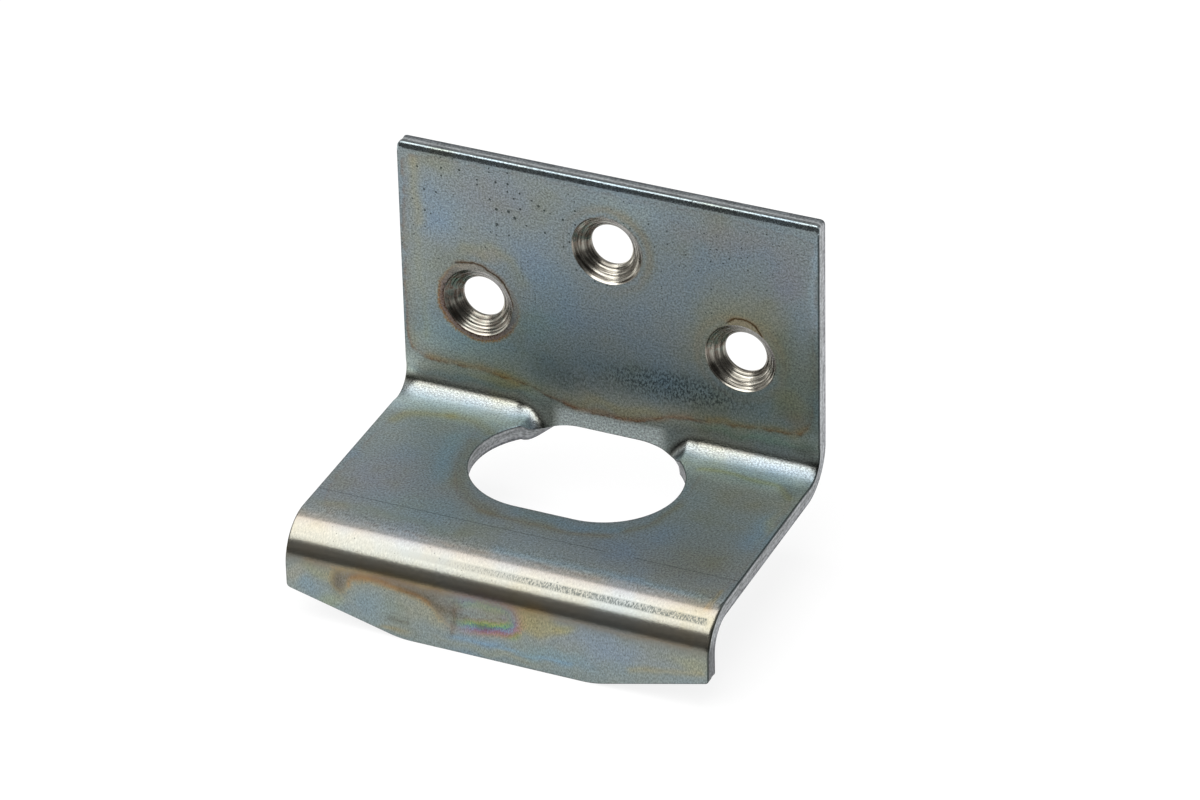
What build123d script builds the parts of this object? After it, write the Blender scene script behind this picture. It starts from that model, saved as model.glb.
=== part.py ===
from build123d import *
import math
import os

# Screw-on bracket, stamped from one piece of sheet steel: an upright plate with three
# countersunk screw holes, a shelf with a large round-ended slot, and a short front lip.
# Millimetres. X runs along the width, the wall lies in the plane Y = 0, the shelf reaches
# towards -Y and +Z is up. The origin is on the wall face, midway between the lower screws.

# Sheet and overall sizes
sheet = 2.0
width = 55.0
plate_rise = 34.6          # shelf's top face to the top edge of the plate
shelf_reach = 36.5         # wall face to the outer face of the lip
lip_drop = 12.3            # shelf's top face to the lowest edge of the lip
back_bend_radius = 3.7     # inner radius of the fold between plate and shelf
front_bend_radius = 3.4    # inner radius of the fold between shelf and lip

# Outline of the flat blank
lip_flat_half = 12.6       # half of the straight middle part of the lip's lower edge
lip_side_lift = 3.85       # how much higher the lip ends at its two sides
lip_knee_radius = 12.0
lip_corner_radius = 1.2
plate_corner_radius = 1.0
rolled_edge = 0.25         # rounding that the blanking punch leaves on the front face

# Screw holes, countersunk from the front
screw_hole_diameter = 5.5
countersink_diameter = 9.2
countersink_angle = 100.0
lower_screw_spacing = 34.6
lower_screw_rise = 14.15   # shelf's top face to the lower pair of screws
top_screw_rise = 25.3      # shelf's top face to the upper screw

# Slot in the shelf. It is punched in the flat blank and reaches into the back fold.
slot_length = 27.0
slot_width = 19.2
slot_setback = 12.25       # wall face to the slot's long axis

# The strip of metal behind the slot is too narrow to be pulled round the fold. It stays
# almost in the plane of the plate, and the fold twists into it at both ends.
strip_flat_half = 7.4
strip_turn = 14.0          # degrees that the strip's lower edge still leans forward
strip_stations = 8         # sections in each twisted end

# Places that follow from the sizes above
shelf_top = -lower_screw_rise
plate_top = shelf_top + plate_rise
lip_bottom = shelf_top - lip_drop
fold_top = shelf_top + back_bend_radius
fold_front = -sheet - back_bend_radius
slot_radius = slot_width / 2
slot_straight_half = slot_length / 2 - slot_radius
slot_to_fold = slot_setback + fold_front
strip_half = slot_straight_half + math.sqrt(slot_radius**2 - slot_to_fold**2)
fold_mid_radius = back_bend_radius + sheet / 2
clear = 1.0                # how far a cutting tool runs past the metal


def front_skin():
    """Line of the face that looks forward and up, from the plate's top to the lip's edge."""
    corners = [
        (0, -sheet, plate_top),
        (0, -sheet, shelf_top),
        (0, -shelf_reach, shelf_top),
        (0, -shelf_reach, lip_bottom),
    ]
    return FilletPolyline(*corners, radius=[back_bend_radius, front_bend_radius + sheet])


def back_skin():
    """The same line one sheet thickness further back and down."""
    corners = [
        (0, 0, plate_top),
        (0, 0, shelf_top - sheet),
        (0, sheet - shelf_reach, shelf_top - sheet),
        (0, sheet - shelf_reach, lip_bottom),
    ]
    return FilletPolyline(*corners, radius=[back_bend_radius + sheet, front_bend_radius])


def folded_strip():
    """The sheet folded to its Z shape, full width, with no holes."""
    front, back = front_skin(), back_skin()
    ends = [Line(front @ 0, back @ 0), Line(front @ 1, back @ 1)]
    section = make_face([*front.edges(), *back.edges(), *ends])
    return extrude(section, amount=width / 2, dir=(1, 0, 0), both=True)


def blank_outline():
    """Outline seen from the front: rounded plate corners and the tapered lip."""
    half = width / 2
    outline = Plane.XZ * make_face(
        Polyline(
            (-half, plate_top),
            (half, plate_top),
            (half, lip_bottom + lip_side_lift),
            (lip_flat_half, lip_bottom),
            (-lip_flat_half, lip_bottom),
            (-half, lip_bottom + lip_side_lift),
            close=True,
        )
    )
    corners = outline.vertices().sort_by(Axis.Z)
    outline = fillet(corners[4:], plate_corner_radius)
    outline = fillet(outline.vertices().sort_by(Axis.Z)[:2], lip_knee_radius)
    sides = outline.vertices().filter_by(lambda v: abs(abs(v.X) - half) < 0.01)
    outline = fillet(sides.sort_by(Axis.Z)[:2], lip_corner_radius)
    return extrude(outline, amount=shelf_reach + clear, both=True)


def on_front_outline(edge):
    """Whether an edge bounds the front face, leaving out the fold lines that cross it."""
    skin = front_skin()
    samples = [edge @ share for share in (0.0, 0.5, 1.0)]
    gaps = [skin.distance_to(Vertex(0, point.Y, point.Z)) for point in samples]
    return max(gaps) < sheet / 100 and edge.length < width - rolled_edge


def rolled(sheet_metal):
    """Rounds the outline's edge on the front face, where the blanking punch pressed."""
    return fillet(sheet_metal.edges().filter_by(on_front_outline), rolled_edge)


def slot_cut():
    """Opens the slot in the flat of the shelf and clears the fold behind it."""
    slot = Pos(0, -slot_setback, shelf_top - sheet - clear) * SlotOverall(slot_length, slot_width)
    through = extrude(slot, amount=sheet + 2 * clear)
    fold_box = Box(
        2 * strip_half,
        -fold_front,
        fold_top - shelf_top + sheet + clear,
        align=(Align.CENTER, Align.MAX, Align.MAX),
    )
    return through + Pos(0, 0, fold_top) * fold_box


def slot_edge_past_fold(x):
    """How far the slot's rear edge lies behind the fold's front line, along the flat blank."""
    round_part = max(abs(x) - slot_straight_half, 0)
    return math.sqrt(slot_radius**2 - round_part**2) - slot_to_fold


def strip_section(x):
    """Section across the strip behind the slot, at one place along its length."""
    length = fold_mid_radius * math.pi / 2 - slot_edge_past_fold(x)
    full_turn = length / fold_mid_radius
    reach = (abs(x) - strip_flat_half) / (strip_half - strip_flat_half)
    share = min(max(reach, 0), 1)
    blend = share**2 * (3 - 2 * share)
    turn = math.radians(strip_turn) * (1 - blend) + full_turn * blend
    mid_radius = length / turn

    def point(radius, angle):
        y = radius * math.cos(angle) - mid_radius - sheet / 2
        return (x, y, fold_top - radius * math.sin(angle))

    def arc(radius):
        return ThreePointArc(point(radius, 0), point(radius, turn / 2), point(radius, turn))

    front, back = arc(mid_radius - sheet / 2), arc(mid_radius + sheet / 2)
    return make_face([front, back, Line(front @ 0, back @ 0), Line(front @ 1, back @ 1)])


def strip_behind_slot():
    """The strip that bridges the slot: flat in the middle, twisting into the fold at its ends."""
    step = (strip_half - strip_flat_half) / strip_stations
    end = [strip_flat_half + step * count for count in range(strip_stations + 1)]
    middle = [0, slot_straight_half]
    places = [-x for x in reversed(end)] + [-middle[1], 0, middle[1]] + end
    return loft([strip_section(x) for x in places])


def screw_hole(x, rise):
    """Through hole with its countersink, at a place on the front of the plate."""
    place = Plane(origin=(x, -sheet, shelf_top + rise), x_dir=(1, 0, 0), z_dir=(0, -1, 0))
    slope = math.tan(math.radians(countersink_angle / 2))
    sink_depth = (countersink_diameter - screw_hole_diameter) / 2 / slope
    hole = Cylinder(screw_hole_diameter / 2, 2 * (sheet + clear))
    over = clear * slope
    sink = Cone(
        screw_hole_diameter / 2,
        countersink_diameter / 2 + over,
        sink_depth + clear,
        align=(Align.CENTER, Align.CENTER, Align.MIN),
    )
    return place * (hole + Pos(0, 0, -sink_depth) * sink)


bracket = rolled(folded_strip() & blank_outline()) - slot_cut() + strip_behind_slot()
half_spacing = lower_screw_spacing / 2
bracket -= screw_hole(-half_spacing, lower_screw_rise)
bracket -= screw_hole(half_spacing, lower_screw_rise)
bracket -= screw_hole(0, top_screw_rise)

os.makedirs("parts", exist_ok=True)
export_step(bracket, "parts/bracket.step")
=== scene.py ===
import math

import bpy
import numpy as np
from mathutils import Matrix, Vector
from mathutils.geometry import delaunay_2d_cdt
from mathutils.noise import noise_vector, seed_set


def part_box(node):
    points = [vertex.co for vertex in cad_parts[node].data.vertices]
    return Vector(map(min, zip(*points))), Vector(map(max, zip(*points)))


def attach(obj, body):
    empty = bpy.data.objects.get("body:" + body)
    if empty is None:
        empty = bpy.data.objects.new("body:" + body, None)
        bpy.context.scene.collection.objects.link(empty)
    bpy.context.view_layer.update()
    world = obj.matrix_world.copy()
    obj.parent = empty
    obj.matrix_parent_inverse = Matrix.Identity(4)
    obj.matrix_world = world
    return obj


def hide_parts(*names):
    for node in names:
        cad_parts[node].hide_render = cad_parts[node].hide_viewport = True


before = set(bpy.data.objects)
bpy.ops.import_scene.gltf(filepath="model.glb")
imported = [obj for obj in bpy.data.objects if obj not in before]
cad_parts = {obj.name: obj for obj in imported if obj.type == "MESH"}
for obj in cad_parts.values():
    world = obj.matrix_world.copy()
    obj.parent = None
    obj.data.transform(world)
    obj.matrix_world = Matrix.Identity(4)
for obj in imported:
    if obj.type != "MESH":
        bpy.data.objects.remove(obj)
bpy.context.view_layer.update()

# Sizes are in millimetres until the press tree writes the folded sheet in metres.
MM = 0.001
low, high = (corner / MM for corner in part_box("bracket"))

# ------------------------------------------------------------------ sizes of the stamping
SHEET = 2.0
HALF = SHEET / 2
HALF_WIDTH = (high.x - low.x) / 2
PLATE_TOP = high.z
LIP_BOTTOM = low.z
REACH = -low.y
SHELF_TOP = -14.15
BACK_BEND = 3.7             # inner radii of the two folds
FRONT_BEND = 3.4
PLATE_CORNER = 0.6
LIP_CORNER = 0.6
LIP_KNEE = 12.0
LIP_FLAT_HALF = 12.6
LIP_SIDE_LIFT = 3.85
HOLE_RADIUS = 2.75
SINK_RADIUS = 4.6
SINK_ANGLE = math.radians(100.0)
LOWER_SCREW_SPACING = 34.6
TOP_SCREW_RISE = 11.15
SLOT_LENGTH = 27.0
SLOT_RADIUS = 9.6
SLOT_SETBACK = 12.25
STRIP_FLAT_HALF = 7.0       # behind the slot the sheet stays nearly flat over this half length
STRIP_TURN = math.radians(14.0)
TWIST_END = 10.6            # it turns into the whole fold by here
PINCH = 1.4                 # and there the fold starts this much lower, and is that much tighter
RIGHT_PINCH = 0.4           # the right side is pinched only this much as strongly
PINCH_END = 12.8
DISH_WIDTH = 2.5            # both ends of the fold are dished by the press
DISH_DEPTH = 0.5
GROOVE_PITCH = 0.27         # turned grooves in the countersinks
GROOVE_DEPTH = 0.05

# The flat blank runs from the plate's top edge, s = 0, to the lip's lower edge.
BACK_MID = BACK_BEND + HALF
FRONT_MID = FRONT_BEND + HALF
S_FOLD = PLATE_TOP - SHELF_TOP - BACK_BEND
S_SHELF = S_FOLD + BACK_MID * math.pi / 2
S_FRONT = S_SHELF + REACH - 2 * SHEET - BACK_BEND - FRONT_BEND
S_LIP = S_FRONT + FRONT_MID * math.pi / 2
S_END = S_LIP + SHELF_TOP - SHEET - FRONT_BEND - LIP_BOTTOM
S_SLOT = S_SHELF + SLOT_SETBACK - SHEET - BACK_BEND
SLOT_STRAIGHT = SLOT_LENGTH / 2 - SLOT_RADIUS
STRIP_HALF = SLOT_STRAIGHT + math.sqrt(SLOT_RADIUS**2 - (S_SLOT - S_SHELF) ** 2)
SCREW_HOLES = (
    (-LOWER_SCREW_SPACING / 2, PLATE_TOP),
    (0.0, PLATE_TOP - TOP_SCREW_RISE),
    (LOWER_SCREW_SPACING / 2, PLATE_TOP),
)

# ------------------------------------------------------------------ the flat blank
COARSE = 0.42               # steps of the mesh on the flats and across the folds
FINE = 0.28
HOLE_SEGMENTS = 72
HOLE_RINGS = 44             # about six to a groove
TWIST_REACH = 3.6           # the columns are also fine this far to each side of the strip's twist
WELD = 0.02

# A cut edge from the face it was punched through to the back: depth into the sheet, height.
# The first levels are the face rolled over by the punch, and the rest is the cut itself.
PUNCHED_EDGE = (
    (0.88, 1.0), (0.77, 0.988), (0.64, 0.965), (0.5, 0.93), (0.36, 0.885), (0.23, 0.83), (0.11, 0.765),
    (0.03, 0.69), (0.0, 0.6), (0.0, 0.15), (0.015, 0.02), (0.05, -0.1), (0.055, -0.4), (0.045, -0.75),
    (0.01, -0.96), (0.03, -1.0),
)
ROLL_LEVELS = 8
ROLL_DEPTH = 1.2            # how far down the sides the wide roll of the top edge fades
SMALL_ROLL = 0.2            # the roll of the other edges, as a share of the top edge's
BEND_ROLL = 0.6             # and what the right end of the front fold adds to that
BEND_ROLL_AT = S_FRONT + 3.2
BEND_ROLL_REACH = 2.6
SMOOTH_BELOW = math.radians(32.0)   # steeper edges stay sharp


def stretch(start, end, step):
    """Points from start to just before end, about a step apart."""
    count = max(round(math.dist(start, end) / step), 1)
    shares = np.arange(count)[:, None] / count
    return np.array(start) + shares * (np.array(end) - np.array(start))


def arc(centre, radius, start, end, step):
    """Points on an arc, in degrees, from start to just before end."""
    turns = np.radians(stretch((start,), (end,), math.degrees(step / radius)))
    return np.array(centre) + radius * np.hstack([np.cos(turns), np.sin(turns)])


def blank_outline(step):
    """The outer edge, anticlockwise, and the direction into the sheet."""
    slope = math.atan2(LIP_SIDE_LIFT, HALF_WIDTH - LIP_FLAT_HALF)
    knee = LIP_KNEE * math.tan(slope / 2)
    corner = LIP_CORNER * math.tan(math.pi / 4 - slope / 2)
    side = S_END - LIP_SIDE_LIFT
    degrees = math.degrees(slope)
    right = HALF_WIDTH
    top = PLATE_CORNER
    half = [
        stretch((0, 0), (right - top, 0), step),
        arc((right - top, top), top, -90, 0, step / 2),
        stretch((right, top), (right, side - corner), step),
        arc((right - LIP_CORNER, side - corner), LIP_CORNER, 0, 90 - degrees, step / 2),
        stretch(
            (right - corner * math.cos(slope), side + corner * math.sin(slope)),
            (LIP_FLAT_HALF + knee * math.cos(slope), S_END - knee * math.sin(slope)),
            step,
        ),
        arc((LIP_FLAT_HALF - knee, S_END - LIP_KNEE), LIP_KNEE, 90 - degrees, 90, step / 2),
        stretch((LIP_FLAT_HALF - knee, S_END), (0, S_END), step),
    ]
    half = np.vstack(half)
    other = half[1:][::-1] * (-1, 1)
    return with_inward(np.vstack([half, [(0, S_END)], other]))


def slot_outline(step):
    """The slot's edge, clockwise, and the direction into the sheet."""
    left, right = (-SLOT_STRAIGHT, S_SLOT), (SLOT_STRAIGHT, S_SLOT)
    top, bottom = S_SLOT - SLOT_RADIUS, S_SLOT + SLOT_RADIUS
    pieces = [
        stretch((-SLOT_STRAIGHT, top), (SLOT_STRAIGHT, top), step),
        arc(right, SLOT_RADIUS, -90, 90, step),
        stretch((SLOT_STRAIGHT, bottom), (-SLOT_STRAIGHT, bottom), step),
        arc(left, SLOT_RADIUS, 90, 270, step),
    ]
    return with_inward(np.vstack(pieces)[::-1])


def with_inward(points):
    """A loop's points and the direction into the sheet, which lies on the loop's left."""
    along = np.roll(points, -1, axis=0) - np.roll(points, 1, axis=0)
    along /= np.linalg.norm(along, axis=1)[:, None]
    return points, np.stack([-along[:, 1], along[:, 0]], axis=1)


def circle(centre, radius):
    turns = np.arange(HOLE_SEGMENTS) / HOLE_SEGMENTS * 2 * math.pi
    return np.array(centre) + radius * np.stack([np.cos(turns), np.sin(turns)], axis=1)


def grid_points():
    """Points over the whole blank: fine across the folds, coarse on the flats."""
    rows = []
    bounds = (0, S_FOLD, S_SHELF + 1, S_FRONT - 0.5, S_LIP + 0.5, S_END)
    for start, end, step in zip(bounds, bounds[1:], (COARSE, FINE, COARSE, FINE, COARSE)):
        rows += stretch((start,), (end,), step)[:, 0].tolist()
    columns = np.arange(-HALF_WIDTH, HALF_WIDTH + COARSE / 2, COARSE)
    twist = np.abs(np.abs(columns) - (STRIP_FLAT_HALF + PINCH_END) / 2) < TWIST_REACH
    fine_columns = np.sort(np.concatenate([columns, columns[twist] + COARSE / 2]))
    points = []
    for row in rows:
        across = fine_columns if S_FOLD - 1 < row < S_SHELF + 1 else columns
        points.append(np.stack([across, np.full(len(across), row)], axis=1))
    return np.vstack(points)


def inside(points, loop):
    """Which points lie inside a closed loop."""
    within = np.zeros(len(points), bool)
    for (x0, s0), (x1, s1) in zip(loop, np.roll(loop, -1, axis=0)):
        if s0 != s1:
            crosses = (s0 > points[:, 1]) != (s1 > points[:, 1])
            at = x0 + (points[:, 1] - s0) / (s1 - s0) * (x1 - x0)
            within ^= crosses & (points[:, 0] < at)
    return within


def distance_to(points, places):
    """How far each point is from the nearest place."""
    gap = np.full(len(points), np.inf)
    for chunk in np.array_split(places, len(places) // 16 + 1):
        gap = np.minimum(gap, np.linalg.norm(points[:, None] - chunk[None], axis=2).min(axis=1))
    return gap


def skin(outline, holes):
    """Points and triangles that fill the outline, less the holes."""
    loops = [outline, *holes]
    edge = np.vstack(loops)
    grid = grid_points()
    points = np.vstack([edge, grid[distance_to(grid, edge) > 0.6 * COARSE]])
    links = []
    for loop in loops:
        ring = np.arange(len(loop)) + len(links)
        links += list(zip(ring.tolist(), np.roll(ring, -1).tolist()))
    points, _, faces, *_ = delaunay_2d_cdt([Vector(p) for p in points], links, [], 1, 1e-5)
    points, faces = np.array([p[:] for p in points]), np.array(faces)
    for hole in holes:
        faces = faces[~inside(points[faces].mean(axis=1), hole)]
    used, faces = np.unique(faces, return_inverse=True)
    return points[used], faces.reshape(-1, 3)


def cut_edge(edge, inward):
    """The rings of a cut edge, from the punched face to the back, as (x, s, n)."""
    near_top = np.clip(1 - edge[:, 1] / ROLL_DEPTH, 0, 1)
    at_bend = np.exp(-(((edge[:, 1] - BEND_ROLL_AT) / BEND_ROLL_REACH) ** 4))
    at_bend = at_bend * (edge[:, 0] > HALF_WIDTH - 1)
    share = SMALL_ROLL + (1 - SMALL_ROLL) * near_top + BEND_ROLL * at_bend
    rings = []
    for level, (depth, height) in enumerate(PUNCHED_EDGE):
        scale = share if level <= ROLL_LEVELS else np.ones(len(edge))
        rings.append(np.column_stack([edge + inward * (depth * scale)[:, None], 1 - (1 - height) * scale]))
    return rings


def blank_mesh(face_finish, edge_finish):
    """The punched sheet lying flat, as (x, s, n): n is the height above the sheet's middle."""
    edges = [cut_edge(*blank_outline(COARSE)), cut_edge(*slot_outline(COARSE * 0.8))]
    points, faces, finishes = [], [], []
    count = 0
    for side, hole_radius in ((0, SINK_RADIUS), (-1, HOLE_RADIUS)):
        height = PUNCHED_EDGE[side][1]
        outer, inner = (rings[side][:, :2] for rings in edges)
        found, triangles = skin(outer, [inner, *(circle(c, hole_radius) for c in SCREW_HOLES)])
        points.append(np.column_stack([found, np.full(len(found), height)]))
        faces += (triangles[:, ::-1 if height > 0 else 1] + count).tolist()
        finishes += [0] * len(triangles)
        count += len(found)
    for rings in edges:
        ring = np.arange(len(rings[0]))
        after = np.roll(ring, -1)
        for level in range(len(rings) - 1):
            base = count + level * len(ring)
            below = base + len(ring)
            faces += np.stack([ring + base, after + base, after + below, ring + below], axis=1).tolist()
            finishes += [int(level >= ROLL_LEVELS)] * len(ring)
        points += rings
        count += len(rings) * len(ring)
    mesh = bpy.data.meshes.new("blank")
    mesh.from_pydata(np.vstack(points).tolist(), [], faces)
    mesh.materials.append(face_finish)
    mesh.materials.append(edge_finish)
    mesh.polygons.foreach_set("material_index", finishes)
    return mesh


# ------------------------------------------------------------------ nodes
def add(tree, kind, inputs=(), **settings):
    """Adds a node with its settings. An input is a value, or the socket that feeds it."""
    node = tree.nodes.new(kind)
    for name, value in settings.items():
        setattr(node, name, value)
    for key, value in dict(inputs).items():
        if isinstance(value, bpy.types.NodeSocket):
            tree.links.new(value, node.inputs[key])
        else:
            node.inputs[key].default_value = value
    return node


def add_sums(tree, sums, known):
    """Adds one Math node a line, and keeps each result under its name; "share" holds it to 0-1."""
    for line in sums.strip().splitlines():
        name, _, operation, *terms = line.split()
        limited = terms[-1] == "share"
        terms = terms[:-1] if limited else terms
        inputs = {i: known[t] if t in known else float(t) for i, t in enumerate(terms)}
        result = add(tree, "ShaderNodeMath", inputs, operation=operation, use_clamp=limited)
        known[name] = result.outputs[0]


PRESS_SIZES = {
    "sheet": SHEET,
    "plate_top": PLATE_TOP,
    "fold_start": S_FOLD,
    "shelf_start": S_SHELF,
    "front_start": S_FRONT,
    "lip_start": S_LIP,
    "back_radius": BACK_MID,
    "front_radius": FRONT_MID,
    "slot_centre": S_SLOT,
    "slot_radius": SLOT_RADIUS,
    "slot_straight": SLOT_STRAIGHT,
    "half_width": HALF_WIDTH,
    "strip_half": STRIP_HALF,
    "strip_flat": STRIP_FLAT_HALF,
    "strip_turn": STRIP_TURN,
    "twist_end": TWIST_END,
    "pinch_most": PINCH,
    "right_pinch": RIGHT_PINCH,
    "pinch_end": PINCH_END,
    "dish_width": DISH_WIDTH,
    "dish_depth": DISH_DEPTH,
    "sink_radius": SINK_RADIUS,
    "sink_slope": math.tan(SINK_ANGLE / 2),
    "hole_radius": HOLE_RADIUS,
    "groove_pitch": GROOVE_PITCH,
    "groove_depth": GROOVE_DEPTH,
    "screw_spacing": LOWER_SCREW_SPACING,
    "top_screw_rise": TOP_SCREW_RISE,
}
NUMBERS = {
    "mm": MM,
    "whole_turn": math.tau,
    "quarter_turn": math.pi / 2,
    "corner_gain": 4 / math.pi - 1,     # how much longer a square corner is than its arc
    "slow_pitch": 0.58,                 # the slow wave of the grooves, against the fine one
}

# One Math node a line. Depth is measured down from the face that the screw head sits in. The
# grooves are a fine wave and a slow one, which together stay between nothing and one.
SINK_SUMS = """
down = SUBTRACT 0.5 level
depth = MULTIPLY down sheet
fall = MULTIPLY depth sink_slope
cone = SUBTRACT sink_radius fall
on_cone = GREATER_THAN cone hole_radius
wide = MAXIMUM cone hole_radius
phase = DIVIDE depth groove_pitch
turns = MULTIPLY phase whole_turn
wave = COSINE turns
slow_turns = MULTIPLY turns slow_pitch
slow_wave = COSINE slow_turns
fast_part = MULTIPLY_ADD wave -0.3 0.5
groove = MULTIPLY_ADD slow_wave -0.2 fast_part
cut = MULTIPLY groove groove_depth
cut_here = MULTIPLY cut on_cone
reach = ADD wide cut_here
sink_x = MULTIPLY round_x reach
sink_s = MULTIPLY round_s reach
middle = MULTIPLY sheet 0.5
sink_n = SUBTRACT middle depth
"""
# The three holes in a row, the middle one higher.
HOLE_SUMS = """
half_spacing = MULTIPLY screw_spacing 0.5
place = SUBTRACT index 1
hole_x = MULTIPLY place half_spacing
off_centre = ABSOLUTE place
centred = SUBTRACT 1 off_centre
climb = MULTIPLY centred top_screw_rise
hole_s = SUBTRACT plate_top climb
"""
# Where each point of the blank goes: round the back fold, which is slack on the strip behind the
# slot and pinched beside it, along the shelf, round the front fold and down the lip.
FOLD_SUMS = """
side = ABSOLUTE x
near = MINIMUM side strip_half
past_straight = SUBTRACT near slot_straight
over = MAXIMUM past_straight 0
over_squared = MULTIPLY over over
radius_squared = MULTIPLY slot_radius slot_radius
rise_squared = SUBTRACT radius_squared over_squared
rise = SQRT rise_squared
slot_edge = SUBTRACT slot_centre rise
strip = SUBTRACT slot_edge fold_start
twist_width = SUBTRACT twist_end strip_flat
past_flat = SUBTRACT side strip_flat
twist = DIVIDE past_flat twist_width share
full_turn = DIVIDE strip back_radius
more_turn = SUBTRACT full_turn strip_turn
turn = MULTIPLY_ADD more_turn twist strip_turn
strip_radius = DIVIDE strip turn
beside = LESS_THAN side strip_half
behind = LESS_THAN s slot_centre
on_strip = MULTIPLY beside behind
radius_gain = SUBTRACT strip_radius back_radius
whole_radius = MULTIPLY_ADD on_strip radius_gain back_radius
pinch_gap = SUBTRACT pinch_end side
pinch_width = SUBTRACT pinch_end twist_end
pinch_near = DIVIDE pinch_gap pinch_width share
pinch_squared = MULTIPLY pinch_near pinch_near
pinch_soft = MULTIPLY_ADD pinch_near -2.0 3.0
pinch_0 = MULTIPLY pinch_squared pinch_soft
pinch_1 = MULTIPLY pinch_0 twist
pinch_2 = MULTIPLY pinch_1 pinch_most
on_right = GREATER_THAN x 0
right_less = SUBTRACT right_pinch 1
side_pinch = MULTIPLY_ADD on_right right_less 1
pinch = MULTIPLY pinch_2 side_pinch
radius = SUBTRACT whole_radius pinch
past_fold = SUBTRACT s fold_start
past_low = MAXIMUM past_fold 0
fold_length = SUBTRACT shelf_start fold_start
bent = MINIMUM past_low fold_length
pinch_gain = DIVIDE pinch back_radius
stretched = MULTIPLY_ADD pinch_gain corner_gain 1.0
way = MULTIPLY bent stretched
straight_before = MINIMUM way pinch
past_pinch = SUBTRACT way pinch
back_raw = DIVIDE past_pinch radius
back_low = MAXIMUM back_raw 0
back = MINIMUM back_low quarter_turn
arc = MULTIPLY radius quarter_turn
past_arc = SUBTRACT past_pinch arc
after_low = MAXIMUM past_arc 0
straight_after = MINIMUM after_low pinch
past_front = SUBTRACT s front_start
front_raw = DIVIDE past_front front_radius
front_low = MAXIMUM front_raw 0
front = MINIMUM front_low quarter_turn
back_run = MULTIPLY back back_radius
late = SUBTRACT back_run bent
lean_s = ADD s late
twice = MULTIPLY back 2.0
halfway = SINE twice
end_gap = SUBTRACT half_width side
end_share = DIVIDE end_gap dish_width
end_near = SUBTRACT 1 end_share share
end_squared = MULTIPLY end_near end_near
dish_0 = MULTIPLY end_squared halfway
dish = MULTIPLY dish_0 dish_depth
upper = MAXIMUM n 0
dish_here = MULTIPLY dish upper
level_n = SUBTRACT n dish_here
plate_run = MINIMUM s fold_start
past_shelf = SUBTRACT s shelf_start
shelf_low = MAXIMUM past_shelf 0
shelf_length = SUBTRACT front_start shelf_start
shelf_run = MINIMUM shelf_low shelf_length
past_lip = SUBTRACT s lip_start
lip_run = MAXIMUM past_lip 0
back_cos = COSINE back
back_sin = SINE back
front_cos = COSINE front
front_sin = SINE front
lean = SUBTRACT back front
lean_cos = COSINE lean
lean_sin = SINE lean
back_in = SUBTRACT 1 back_cos
front_in = SUBTRACT 1 front_cos
out_0 = MULTIPLY_ADD radius back_in middle
out_1 = MULTIPLY_ADD front_radius front_sin out_0
out_2 = MULTIPLY_ADD level_n lean_cos out_1
out_3 = ADD out_2 shelf_run
out = ADD out_3 straight_after
up_0 = SUBTRACT plate_top straight_before
up_1 = SUBTRACT up_0 plate_run
up_2 = SUBTRACT up_1 lip_run
drop_0 = MULTIPLY radius back_sin
drop = MULTIPLY_ADD front_radius front_in drop_0
up_3 = SUBTRACT up_2 drop
up = MULTIPLY_ADD level_n lean_sin up_3
inward = SUBTRACT 0 out
folded_x = MULTIPLY x mm
folded_y = MULTIPLY inward mm
folded_z = MULTIPLY up mm
"""


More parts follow.
